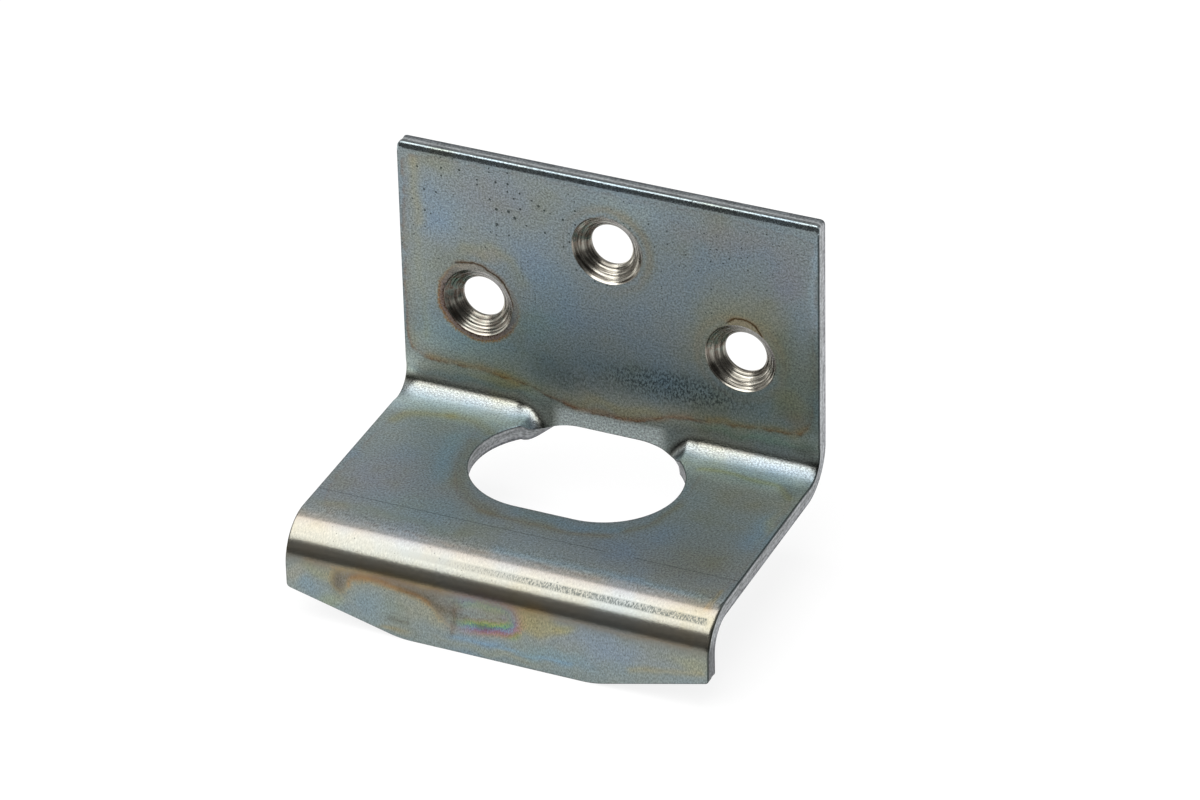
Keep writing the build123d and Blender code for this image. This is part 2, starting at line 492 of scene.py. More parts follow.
def press_tree():
    """Sinks the three screw holes in the flat blank and folds it."""
    tree = bpy.data.node_groups.new("press", "GeometryNodeTree")
    face = tree.interface
    face.new_socket("Geometry", in_out="INPUT", socket_type="NodeSocketGeometry")
    face.new_socket("sink_finish", in_out="INPUT", socket_type="NodeSocketMaterial")
    for name in PRESS_SIZES:
        face.new_socket(name, in_out="INPUT", socket_type="NodeSocketFloat")
    face.new_socket("Geometry", in_out="OUTPUT", socket_type="NodeSocketGeometry")
    given = add(tree, "NodeGroupInput")
    known = {**NUMBERS, **{name: given.outputs[name] for name in PRESS_SIZES}}

    at = add(tree, "GeometryNodeInputPosition").outputs[0]
    here = add(tree, "ShaderNodeSeparateXYZ", {0: at})
    known.update(round_x=here.outputs[0], round_s=here.outputs[1], level=here.outputs[2])
    known.update(x=here.outputs[0], s=here.outputs[1], n=here.outputs[2])
    known["index"] = add(tree, "GeometryNodeInputIndex").outputs[0]
    for sums in (SINK_SUMS, HOLE_SUMS, FOLD_SUMS):
        add_sums(tree, sums, known)

    places = {}
    for name, parts in (("sink", "xsn"), ("hole", "xs"), ("folded", "xyz")):
        inputs = {i: known[f"{name}_{part}"] for i, part in enumerate(parts)}
        places[name] = add(tree, "ShaderNodeCombineXYZ", inputs).outputs[0]
    tube = add(
        tree, "GeometryNodeMeshCylinder",
        {"Vertices": HOLE_SEGMENTS, "Side Segments": HOLE_RINGS, "Radius": 1.0, "Depth": 1.0},
        fill_type="NONE",
    )
    marked = add(
        tree, "GeometryNodeStoreNamedAttribute",
        {"Geometry": tube.outputs["Mesh"], "Name": "sunk", "Value": True},
        data_type="BOOLEAN", domain="FACE",
    )
    sink = add(tree, "GeometryNodeSetPosition", {"Geometry": marked.outputs[0], "Position": places["sink"]})
    centres = add(tree, "GeometryNodePoints", {"Count": len(SCREW_HOLES), "Position": places["hole"]})
    sinks = add(
        tree, "GeometryNodeInstanceOnPoints",
        {"Points": centres.outputs[0], "Instance": sink.outputs[0]},
    )
    real = add(tree, "GeometryNodeRealizeInstances", {0: sinks.outputs[0]})
    whole = add(tree, "GeometryNodeJoinGeometry")
    tree.links.new(given.outputs["Geometry"], whole.inputs[0])
    tree.links.new(real.outputs[0], whole.inputs[0])
    welded = add(tree, "GeometryNodeMergeByDistance", {"Geometry": whole.outputs[0], "Distance": WELD})
    stored = add(
        tree, "GeometryNodeStoreNamedAttribute",
        {"Geometry": welded.outputs[0], "Name": "blank", "Value": at},
        data_type="FLOAT_VECTOR", domain="POINT",
    )
    leaning = add(
        tree, "GeometryNodeStoreNamedAttribute",
        {"Geometry": stored.outputs[0], "Name": "lean_s", "Value": known["lean_s"]},
        data_type="FLOAT", domain="POINT",
    )
    pressed = add(
        tree, "GeometryNodeSetPosition",
        {"Geometry": leaning.outputs[0], "Position": places["folded"]},
    )
    plain = add(tree, "GeometryNodeRealizeInstances", {0: pressed.outputs[0]})
    sunk = add(tree, "GeometryNodeInputNamedAttribute", {"Name": "sunk"}, data_type="BOOLEAN")
    dressed = add(
        tree, "GeometryNodeSetMaterial",
        {
            "Geometry": plain.outputs[0],
            "Selection": sunk.outputs[0],
            "Material": given.outputs["sink_finish"],
        },
    )
    add(tree, "NodeGroupOutput", {"Geometry": dressed.outputs[0]})
    return tree


def pressed_bracket(face_finish, edge_finish, sink_finish):
    blank = bpy.data.objects.new("blank", blank_mesh(face_finish, edge_finish))
    bpy.context.scene.collection.objects.link(blank)
    tree = press_tree()
    press = blank.modifiers.new("press", "NODES")
    press.node_group = tree
    sockets = {item.name: item.identifier for item in tree.interface.items_tree if item.in_out == "INPUT"}
    press[sockets["sink_finish"]] = sink_finish
    for name, size in PRESS_SIZES.items():
        press[sockets[name]] = size
    graph = bpy.context.evaluated_depsgraph_get()
    mesh = bpy.data.meshes.new_from_object(blank.evaluated_get(graph), depsgraph=graph)
    mesh.name = "bracket_sheet"
    blank.modifiers.clear()
    bpy.data.objects.remove(blank)
    mesh.polygons.foreach_set("use_smooth", np.ones(len(mesh.polygons), bool))
    mesh.set_sharp_from_angle(angle=SMOOTH_BELOW)
    sheet = bpy.data.objects.new("bracket_sheet", mesh)
    bpy.context.scene.collection.objects.link(sheet)
    return sheet


# ------------------------------------------------------------------ where the plating dried, and where light and shade are painted
# Edges of the dried patches of passivating film, as (x, s) on the blank.
PLATE_PATCH = (
    (-26.4, 1.2), (26.5, 1.2), (26.9, 4), (27.0, 15.5), (26.9, 22), (26.6, 27), (25.9, 28.9),
    (24.7, 29.7), (21, 30), (16.7, 30.2), (13.3, 30.2), (9.5, 30.7), (7.1, 31.3), (4.5, 32.4),
    (2, 32.8), (0, 32.9), (-2.5, 32.8), (-6.5, 32.3), (-9.5, 31.4), (-10.6, 30.7), (-14, 30.3),
    (-17.5, 29.9), (-20.5, 30.2), (-23, 30.1), (-25.4, 29.7), (-26.5, 28.9), (-27, 27),
    (-27.05, 20), (-27, 8), (-26.9, 2.5),
)
SHELF_PATCH = (
    (-26.3, 42), (-25.2, 40.4), (-23, 39.5), (-19, 38.9), (-15.5, 39.2), (-14.6, 41),
    (-14.7, 46.5), (-13.1, 52), (-10.4, 55.6), (-6, 57.3), (0.5, 57.5), (7, 57.2), (10.6, 55),
    (13.2, 51.5), (14.4, 46.5), (14.3, 41), (14.5, 38.6), (17.5, 37.8), (22.5, 37.9),
    (25.3, 39.2), (26.8, 42), (26.9, 50), (26.9, 64.2), (20, 64.6), (0, 64.7), (-20, 64.5),
    (-26.5, 63.5),
)
LIP_TONGUE = (
    (-21.6, 71.5), (-21.4, 70.5), (-20.4, 69.8), (-17.3, 69.3), (-10, 69.2), (-2, 69.3),
    (2.2, 69.8), (2.9, 71.2), (2, 72.6), (-0.4, 73.3), (-3.4, 73.9), (-5.6, 74.3),
    (-7.2, 73.4), (-8.4, 71.8), (-9.9, 71), (-11.8, 70.6), (-14.8, 70.3), (-18.4, 70.4),
    (-19.2, 70.9), (-19.6, 73.2), (-20.9, 72.6),
)

# Soft stains in the film: middle (x, s), half widths, and the tint, where #808080 leaves no mark.
# # A few grey ones round the back fold are painted light and shade instead: shade below its
# # highlight on the right and at its right end, light above its left end.
STAINS_AND_PAINTED_LIGHT = (
    (-15, 5, 5.5, 3.2, "#7e797a"), (-22, 2.3, 2.2, 1.2, "#827f77"), (-21.5, 9.6, 3, 3, "#7f8284"),
    (17.5, 4.2, 8.5, 2.2, "#867c78"), (23.6, 8.4, 2.4, 3, "#857b7c"), (-7.5, 16.8, 3.6, 4, "#7a8186"),
    (-9.3, 21.4, 3.8, 2, "#778489"), (17.3, 17, 7.4, 6.8, "#8c8064"), (24, 20.5, 3, 6, "#75715f"),
    (23.9, 25.7, 2.6, 2.2, "#8d8066"), (-16.3, 13.5, 2.6, 1, "#8c8072"), (-7.8, 28.5, 3, 2.6, "#6c7276"),
    (7, 26.6, 8, 2.6, "#767d80"), (-20, 26.3, 6.5, 2.6, "#929694"), (-13.6, 31, 4.6, 1, "#7e7964"),
    (1, 31.2, 5.5, 1, "#8a8270"), (-18, 32.3, 8, 0.7, "#727e86"), (-26.3, 31.4, 1, 1.4, "#8c949c"),
    (18.5, 31.3, 7.5, 0.7, "#76817b"), (21.2, 57.5, 5, 5, "#7b7567"), (22, 42.5, 5.5, 2.6, "#7f7972"),
    (25.8, 48.5, 1.5, 4, "#7a8896"), (-21.5, 54.5, 4.5, 5.5, "#817e84"), (-14, 59.3, 8, 2.8, "#7b8585"),
    (-24, 62.8, 2, 1.3, "#877f72"), (-23.7, 70.6, 2.3, 1, "#8b8570"), (-25, 73.2, 1.4, 0.9, "#788490"),
    (-21.7, 74, 1.4, 1.3, "#8e886b"), (-13.3, 76.3, 1.9, 0.4, "#947f5e"),
    (-15.8, 73.1, 3.4, 2.1, "#7c848b"), (-9, 73, 2.9, 1.8, "#8c8477"), (7.3, 74.9, 5.6, 1.1, "#77848e"),
    # painted: shade below the back fold's highlight at (20, 37.5), light above its left end at (-26.6,
    # 33.4), shade at its right end at (25.8, 32)
    (25.3, 71.2, 2.2, 0.9, "#908871"), (5.2, 70.9, 2.6, 1.5, "#96865f"), (20, 37.5, 8.2, 2.2, "#666968"),
    (-26.6, 33.4, 1.2, 1.1, "#d0d2d0"), (25.8, 32, 1.8, 1.6, "#606264"), (-5.4, 71.4, 1.6, 1, "#7a6a5e"),
    (-1, 73, 1.6, 0.6, "#6c5048"), (2.4, 70.7, 1.2, 0.8, "#74708e"), (2, 72.9, 1.2, 0.5, "#708a60"),
    (8.7, 70.8, 2, 0.9, "#94865a"), (-26.4, 71.8, 1.3, 1.4, "#92887e"), (-1, 76.2, 6, 0.7, "#908572"),
    # painted shade at the back fold's right end at (26, 39)
    (26.3, 47, 1, 3, "#94846a"), (26, 39, 1.8, 1.8, "#5c5e60"), (24.4, 27.6, 2.4, 1.6, "#7c706c"),
    (-16.5, 62.2, 11, 1, "#7a7c74"), (-24.5, 19.5, 1.8, 6, "#8a8a86"), (3, 3.2, 5, 2.2, "#8e8e8b"),
    (15, 7, 13, 8, "#747575"), (-20.9, 71.4, 0.8, 1.7, "#6c6862"), (0, 61, 9, 2.8, "#898b8b"),
    (14, 71.8, 9, 1.8, "#82828a"),
)
# Drawn-out marks: half width, tint, and the path they follow as (x, s). The two down the plate's
# # right edge are a painted highlight and, below it, painted shade.
STREAKS = (
    (0.8, "#908268", ((-25.3, 2), (-25.2, 6), (-24.8, 10.5))),
    (0.55, "#848075", ((-25.2, 12), (-24.9, 20), (-24.4, 26.5))),
    (0.45, "#887560", ((-24.3, 29.8), (-22, 30), (-19.5, 29.8), (-17, 29.6), (-15, 30.2), (-12.5, 30.9))),
    (0.35, "#88746a", ((-6, 32.2), (-3, 32.5), (0, 32.6), (4, 32.4), (6, 31.8), (8, 30.9), (10.5, 30.4))),
    (0.5, "#8a7960", ((13, 30), (17, 29.7), (21, 29.7), (24, 29.5), (25.8, 28.6))),
    (0.8, "#868070", ((-19, 12.8), (-15.5, 12), (-12.8, 13.5), (-11.3, 16.5))),
    # a painted highlight down the plate's rolled right edge, then painted shade below it
    (0.4, "#8f969d", ((26.8, 3.5), (26.8, 13.5))),
    (0.9, "#6c6d66", ((26.9, 15.5), (26.8, 28))),
    (0.85, "#857b5c", ((-25.7, 42.3), (-24.5, 40.6), (-22.5, 39.4), (-19.5, 38.9))),
    (0.85, "#7d7560", ((-19.5, 38.9), (-16, 39.1), (-14, 40.2), (-13.4, 41))),
    (0.45, "#858062", ((13.8, 39), (16, 38.1), (20, 38.3), (24, 38.9), (26.3, 40.8))),
    (1.3, "#78858d", ((-16.6, 43.5), (-16.3, 48), (-14.8, 52))),
    (1.0, "#7a7060", ((-14.2, 43.5), (-14, 48), (-12.4, 52), (-9.6, 55), (-5.5, 56.8))),
    (0.5, "#7e7464", ((-7.5, 57), (-3, 57.4), (6, 57.3), (9.5, 56.4))),
    (0.6, "#7c7464", ((11, 54.5), (13.2, 51.5), (14.3, 47))),
    (0.8, "#75828a", ((-3, 55.6), (5, 56), (10, 54.6))),
    (0.6, "#828d97", ((-2, 64), (12, 63.6), (25, 64))),
    (0.35, "#92805e", ((26.3, 62), (26.2, 65))),
    (0.45, "#92846c", ((17.5, 74.2), (21.5, 73.2), (26.5, 72.3))),
    (0.3, "#887c72", ((-25, 69.5), (25, 69.5))),
    (0.3, "#6c5c50", ((-5.6, 71.6), (-5.6, 74.8))),
    (0.28, "#91704c", ((-19, 71.4), (-18.7, 70.5), (-17.4, 70.1), (-14, 70.1), (-10.5, 70.5), (-8.4, 71.3))),
    (0.5, "#66625a", ((-12, 70.3), (-9, 70.7), (-6.5, 72), (-4, 72.6))),
    (0.3, "#788798", ((-5.5, 75), (-3, 75.15), (10, 75.6))),
    (0.3, "#5e5852", ((-13.8, 74.8), (-11.6, 75.05))),
)
STAIN_WANDER = 1.3          # how far, in millimetres, a stain's edge strays
STREAK_WANDER = 0.5
WANDER_SIZE = 3.0
WANDER_SEED = 1             # fixed, so that every run gives the same stains
STAIN_STRENGTH = 0.6
STAIN_FLATNESS = 1.6        # as bump_at's power

# Burrs raised above the outer countersinks, painted with shade along their edge rather than shaped:
# # the middle and radius of the arc that each ends on, and the angles it spans, in degrees clockwise
# # from straight up.
BURRS = (
    ((-17.95, 20.25), 5.25, -32, 98),
    ((17.57, 17.6), 2.7, -55, 85),
)
BURR_FADE = 12              # degrees over which each end of a burr fades

# Where dark specks and pits gather: strength, middle (x, s), half widths and the flatness of the top.
SPECK_SPOTS = (
    (0.85, 8, 26.6, 9.5, 2.5, 2), (0.5, -5.5, 28.8, 5, 2, 1), (0.3, 23, 18, 4, 6, 1),
    (0.2, 18, 28, 10, 3, 1), (0.14, 8, 57, 20, 8, 1),
)
PIT_SPOTS = ((1.15, -16, 6, 13, 8, 1), (0.7, 8, 8, 18, 8, 1))
PIT_BASE = 0.45
TIDE_SPOTS = ((1, 0, 31, 60, 4, 1), (0.5, -27, 16, 4, 16, 2))
TIDE_BASE = 0.25
THICK_SPOTS = ((0.75, 0.2, 72.9, 5, 1.7, 2),)
THICK_BASE = 0.25

# Which way the painted shade and the painted highlight on the countersinks face, and where their
# # dried film lies: strength, direction from +x towards +s, and spread.
SHADE_WEDGES = ((1, 150, 26), (0.4, 98, 18), (0.9, -45, 45))
PAINTED_GLINTS = ((1, 50, 38),)
GRIMES = ((1, 215, 48),)
FIRST_GRIME = 0.4           # the left countersink is dirty all round
RUST_REACH = 8
HALO_REACH = 10
RIGHT_HALO = 0.35


def rounded(corners, rounds=3):
    """A closed loop with its corners cut back, again and again."""
    loop = np.array(corners, float)
    for _ in range(rounds):
        after = np.roll(loop, -1, axis=0)
        loop = np.stack([0.75 * loop + 0.25 * after, 0.25 * loop + 0.75 * after], axis=1).reshape(-1, 2)
    return loop


def gap_to_path(points, path):
    """How far each point is from a path, in millimetres."""
    path = np.array(path, float)
    gap = np.full(len(points), np.inf)
    for start, end in zip(path, path[1:]):
        run = end - start
        share = np.clip((points - start) @ run / (run @ run), 0, 1)
        gap = np.minimum(gap, np.linalg.norm(points - start - share[:, None] * run, axis=1))
    return gap


def depth_in(points, corners):
    """How deep each point lies inside a patch, in millimetres; outside it is negative."""
    loop = rounded(corners)
    gap = gap_to_path(points, np.vstack([loop, loop[:1]]))
    return np.where(inside(points, loop), gap, -gap)


def bump_at(points, x, s, across, along, power=1):
    """A soft spot: one at its middle, with its half widths. More power gives a flatter top."""
    reach = ((points[:, 0] - x) / across) ** 2 + ((points[:, 1] - s) / along) ** 2
    return np.exp(-(reach**power))


def spots_at(points, spots):
    """Soft spots laid over one another."""
    return sum(strength * bump_at(points, *where) for strength, *where in spots)


def stain_and_light_tint(points):
    """The film's stains, and a few spots of painted light and shade, as a linear colour that the plating's
    colour is multiplied by.
    """
    seed_set(WANDER_SEED)
    stray = np.array([noise_vector(Vector((x, s, 0)) / WANDER_SIZE)[:2] for x, s in points])
    shown = [
        (bump_at(points + STAIN_WANDER * stray, *where, STAIN_FLATNESS), code)
        for *where, code in STAINS_AND_PAINTED_LIGHT
    ]
    for half_width, code, path in STREAKS:
        gap = gap_to_path(points + STREAK_WANDER * stray, path)
        shown.append((np.exp(-((gap / half_width) ** 2)), code))
    clear = np.array(colour("#808080"))
    tint = np.ones((len(points), 4))
    for share, code in shown:
        tint *= 1 + STAIN_STRENGTH * share[:, None] * (np.array(colour(code)) / clear - 1)
    return tint


def burr_marks(points):
    """How far each point lies outside the nearest burr's arc, and how strongly it shows."""
    outside = np.full(len(points), 5.0)
    strength = np.zeros(len(points))
    for centre, radius, start, end in BURRS:
        way = points - centre
        gap = np.linalg.norm(way, axis=1) - radius
        angle = np.degrees(np.arctan2(way[:, 0], -way[:, 1]))
        shown = np.clip((angle - start) / BURR_FADE, 0, 1) * np.clip((end - angle) / BURR_FADE, 0, 1)
        nearer = np.abs(gap) < np.abs(outside)
        outside = np.where(nearer, gap, outside)
        strength = np.where(nearer, shown, strength)
    return outside, strength


def cone_sides(ways, gaps, sides):
    """How strongly each part of the countersinks takes painted shade, a painted highlight or dried film, by
    the way it faces.
    """
    shown = np.zeros(len(gaps[0]))
    for strength, direction, spread in sides:
        one = np.zeros(len(gaps[0]))
        for way, gap in zip(ways, gaps):
            turn = np.degrees(np.arctan2(way[:, 1], way[:, 0])) - direction
            turn = (turn + 180) % 360 - 180
            one = np.maximum(one, np.exp(-((turn / spread) ** 4)) * (gap < SINK_RADIUS + 1))
        shown += strength * one
    return shown


def map_finish(sheet):
    """Writes where each mark of the finish lies, and where the countersinks take painted shade and a painted
    highlight, for the materials to read.
    """
    mesh = sheet.data
    blank = np.zeros(len(mesh.vertices) * 3)
    mesh.attributes["blank"].data.foreach_get("vector", blank)
    flat = blank.reshape(-1, 3)[:, :2]
    seen = (blank.reshape(-1, 3)[:, 2] > 0).astype(float)
    ways = [flat - centre for centre in SCREW_HOLES]
    gaps = [np.linalg.norm(way, axis=1) for way in ways]
    low_left = np.clip(0.72 + (0.5 * ways[0][:, 1] - 0.3 * ways[0][:, 0]) / gaps[0], 0, 1)
    high_right = np.clip(0.5 + (0.3 * ways[1][:, 0] - 0.25 * ways[1][:, 1]) / gaps[1], 0, 1)
    outside, burr = burr_marks(flat)
    halo = high_right * (gaps[1] < HALO_REACH) + RIGHT_HALO * (gaps[2] < HALO_REACH)
    marks = {
        "seen": seen,
        "patch": np.maximum(depth_in(flat, PLATE_PATCH), depth_in(flat, SHELF_PATCH)),
        "tongue": np.where(seen, depth_in(flat, LIP_TONGUE), -9),
        "thick_film": THICK_BASE + spots_at(flat, THICK_SPOTS),
        "rim": np.minimum.reduce(gaps) - SINK_RADIUS,
        "rust": seen * low_left * (gaps[0] < RUST_REACH),
        "halo": seen * halo,
        "burr": seen * burr,
        "burr_gap": outside,
        "tide": seen * np.minimum(TIDE_BASE + spots_at(flat, TIDE_SPOTS), 1),
        "speck": seen * spots_at(flat, SPECK_SPOTS),
        "pits": seen * (PIT_BASE + spots_at(flat, PIT_SPOTS)),
        # painted shade in wedges of each countersink, and a painted highlight on one side
        "painted_shade_wedge": cone_sides(ways, gaps, SHADE_WEDGES),
        "painted_glint": cone_sides(ways, gaps, PAINTED_GLINTS),
        "grime": cone_sides(ways, gaps, GRIMES) + FIRST_GRIME * (gaps[0] < SINK_RADIUS),
    }
    for name, values in marks.items():
        attribute = mesh.attributes.new(name, "FLOAT", "POINT")
        attribute.data.foreach_set("value", values.astype(np.float32))
    tint = np.where(seen[:, None], stain_and_light_tint(flat), 1).astype(np.float32)
    mesh.attributes.new("stain_and_light", "FLOAT_COLOR", "POINT").data.foreach_set("color", tint.ravel())


# ------------------------------------------------------------------ finishes
def colour(code):
    """An sRGB hex colour as the linear colour that a socket takes."""
    parts = [int(code[i:i + 2], 16) / 255 for i in (1, 3, 5)]
    linear = [p / 12.92 if p <= 0.04045 else ((p + 0.055) / 1.055) ** 2.4 for p in parts]
    return (*linear, 1.0)


def fill_ramp(node, stops):
    """Sets a colour ramp's stops: place, hex colour and strength, which is full where not given."""
    ramp = node.color_ramp
    while len(ramp.elements) < len(stops):
        ramp.elements.new(1.0)
    for element, (place, code, *strength) in zip(ramp.elements, stops):
        element.position = place
        element.color = (*colour(code)[:3], *(strength or (1.0,)))
    return node


def new_metal(name):
    """A bare metal, with its nodes and its shader, for a finish to be laid on."""
    material = bpy.data.materials.new(name)
    material.use_nodes = True
    shader = material.node_tree.nodes["Principled BSDF"]
    shader.inputs["Metallic"].default_value = 1.0
    return material, material.node_tree, shader


# The plating's tone, in millimetres from the plate's top edge down over both folds to the lip.
# Over the back fold it also holds painted light and shade: lighter just above it, a painted dark
# crease line where it starts, darker across its highlight and a painted glow below it; and the
# front fold's dark reflected band is painted lighter.
PLATING_AND_PAINTED_LIGHT = (
    (0, "#939da0"), (12, "#8f999e"), (20, "#889194"), (26, "#7e8b8f"), (29, "#8e9592"), (31, "#9ea196"),
    (32.6, "#868c85"), (33.1, "#6c6f69"), (33.6, "#555750"), (33.8, "#494a45"), (34.05, "#7b7a74"),
    (34.3, "#949690"), (35.0, "#888d8e"), (35.7, "#747c7f"), (36.3, "#859195"), (37.2, "#a1afb1"),
    (38.2, "#b2bfbe"), (41, "#8f9896"), (50, "#838d8f"), (60, "#82898d"), (64, "#8a9090"),
    (65.3, "#857f79"), (66.3, "#8f8c83"), (67.4, "#96948a"), (67.6, "#8e8c82"), (67.9, "#a8a498"),
    (68.4, "#beb6a6"), (68.8, "#a29c8e"), (69.2, "#7a776e"), (70.5, "#8a918e"), (80, "#8d9898"),
)
BLANK_END = 80.0
UNSEEN_TONE = "#8c9699"     # the faces that lay down in the press, which no mark reached
PLATING_LIFT = 1.93         # the tone and the cloudy tint are both well below white

# Noises in the plating: size in millimetres, how much each is drawn out down the blank, its detail
# and its roughness. The real grain is finer than 0.1 mm, and is drawn coarser so that it shows.
NOISES = {
    "cloud": (9.0, 1.0, 3.0, 0.55),
    "mottle": (1.6, 1.0, 3.0, 0.6),
    "grain": (0.25, 1.0, 2.0, 0.75),
    "dash": (0.17, 2.0, 2.0, 0.7),
    "fleck": (0.26, 1.8, 2.0, 0.7),
}
# Fades between two values, from nothing to one: which value, where it starts and where it ends.
FADES = {
    "fold_opens": ("lean_s", 32.9, 33.8),
    "fold_closes": ("lean_s", 38.0, 34.8),
    "front_opens": ("s", 64.5, 65.4),
    "front_closes": ("s", 70.6, 69.0),
    "strip_starts": ("s", 32.4, 33.6),
    "strip_ends": ("s", 44.2, 44.0),
    "strip_side": ("side", 8.0, 6.2),
    "folded_side": ("side", 7.2, 8.4),
    "top_roll": ("s", 1.5, 1.1),
    "rolled": ("n", 0.998, 0.975),
    "side_line": ("side", 27.28, 27.36),
    "below_top": ("s", 0.9, 1.2),
    "right_half": ("x", -6.0, 6.0),
    "drawn": ("s", 61.0, 63.0),
    "lip": ("s", 69.2, 69.8),
    "streak_opens": ("s", 66.15, 66.45),
    "streak_closes": ("s", 67.15, 66.85),
    "streak_right": ("x", -20.0, 14.0),
    "streak_end": ("x", 26.8, 26.2),
    "tongue_end": ("x", -8.0, -3.0),
    "scratch_off": ("scratch_gap", 0.1, 0.05),
    "scratch_kept": ("cloud", 0.36, 0.46),
}
# Plain numbers that the sums below use by name. Pits are measured in their cells.
FINISH_NUMBERS = {
    "scratch_slope": 0.006,
    "scratch_place": -59.61,
    "pitless": 0.8,             # the share of the cells that have no pit
    "smallest_pit": 0.04,
    "pit_spread": 0.6,
    "fleckless": 0.47,
    "fleck_edge": 0.1,
    "flat_rough": 0.5,
    "rubbed_smoother": -0.3,
    "torn_rougher": 0.28,
}
# The scratch wanders about a straight line.
SCRATCH_SUMS = """
scratch_0 = MULTIPLY_ADD x scratch_slope scratch_place
scratch_s = MULTIPLY_ADD mottle 0.12 scratch_0
scratch_way = ADD s scratch_s
scratch_gap = ABSOLUTE scratch_way
side = ABSOLUTE x
"""
# How much each finish and mark shows at a point. The plain numbers say how far, in millimetres,
# the noises move a mark's edge, or how strong the mark is against the others.
# Among the marks is a dark line of painted shade along the rolled and cut edges, stronger on the right half.
FINISH_SUMS = """
fold = MULTIPLY fold_opens fold_closes
folded = MULTIPLY fold folded_side
front = MULTIPLY front_opens front_closes
strip_s = MULTIPLY strip_starts strip_ends
strip_0 = MULTIPLY strip_s strip_side
strip = MULTIPLY strip_0 seen
top_lip = MULTIPLY top_roll rolled
rubbed_0 = MAXIMUM folded front
rubbed_1 = MAXIMUM rubbed_0 top_lip
rubbed = MULTIPLY rubbed_1 seen
cloud_drift = MULTIPLY_ADD cloud 1.6 -0.8
drift_0 = MULTIPLY_ADD mottle 1.1 cloud_drift
drift = SUBTRACT drift_0 0.55
film_edge = ADD patch drift
broken = MULTIPLY_ADD mottle 3.2 -0.9 share
tide_here = MULTIPLY tide broken
jag = SUBTRACT dash 0.5
ring_0 = MULTIPLY_ADD mottle 0.9 rim
ring_1 = SUBTRACT ring_0 0.45
ring = MULTIPLY_ADD jag 1.1 ring_1
film_order_0 = MULTIPLY_ADD drift 1.1 tongue
film_order = MULTIPLY_ADD jag 1.6 film_order_0
thin_film = SUBTRACT 1 tongue_end
thick_here = MULTIPLY thick_film tongue_end
burr_line_0 = MULTIPLY_ADD mottle 0.8 burr_gap
burr_line = SUBTRACT burr_line_0 0.4
streak_0 = MULTIPLY streak_opens streak_closes
streak_1 = MULTIPLY streak_right streak_end
streak = MULTIPLY streak_0 streak_1
dashes_0 = MULTIPLY_ADD dash 5.0 -1.9
dashes = MULTIPLY dashes_0 streak
streaky = MAXIMUM drawn speck share
grain_rest = SUBTRACT 1 streaky
grain_part = MULTIPLY grain grain_rest
texture = MULTIPLY_ADD dash streaky grain_part
off_top = SUBTRACT 1 top_roll
off_front = SUBTRACT 1 front
roll_line_0 = MULTIPLY off_top rolled
roll_line = MULTIPLY roll_line_0 off_front
cut_line = MULTIPLY side_line below_top
edge_line_0 = MAXIMUM roll_line cut_line
edge_side = MULTIPLY_ADD right_half 0.65 0.35
edge_line = MULTIPLY edge_line_0 edge_side
scratch_0 = MULTIPLY scratch_off scratch_kept
scratch_1 = MULTIPLY scratch_0 seen
scratch = MULTIPLY scratch_1 0.55
calm_0 = MULTIPLY front 0.75
calm = MULTIPLY_ADD lip 0.3 calm_0
vivid = SUBTRACT 1 calm
around = SUBTRACT texture 0.5
texture_here = MULTIPLY_ADD around vivid 0.5
past_pitless = SUBTRACT chosen pitless
pit_size = MULTIPLY_ADD past_pitless pit_spread smallest_pit
pit_here = MULTIPLY pit_size pits
pitted = GREATER_THAN chosen pitless
pit_radius = MULTIPLY pit_here pitted
pit = LESS_THAN pit_gap pit_radius
height = SUBTRACT texture_here pit
past_fleckless = SUBTRACT fleck fleckless
flecks = DIVIDE past_fleckless fleck_edge share
specks = MULTIPLY flecks speck
dark_0 = MAXIMUM specks pit
dark_1 = MAXIMUM dark_0 dashes
dark_2 = MAXIMUM dark_1 edge_line
dark_3 = MAXIMUM dark_2 scratch share
dark = MULTIPLY dark_3 0.8
rough_0 = MULTIPLY_ADD rubbed rubbed_smoother flat_rough
rough_1 = MULTIPLY_ADD strip torn_rougher rough_0
speckle = SUBTRACT texture_here 0.5
rough = MULTIPLY_ADD speckle 0.12 rough_1
"""

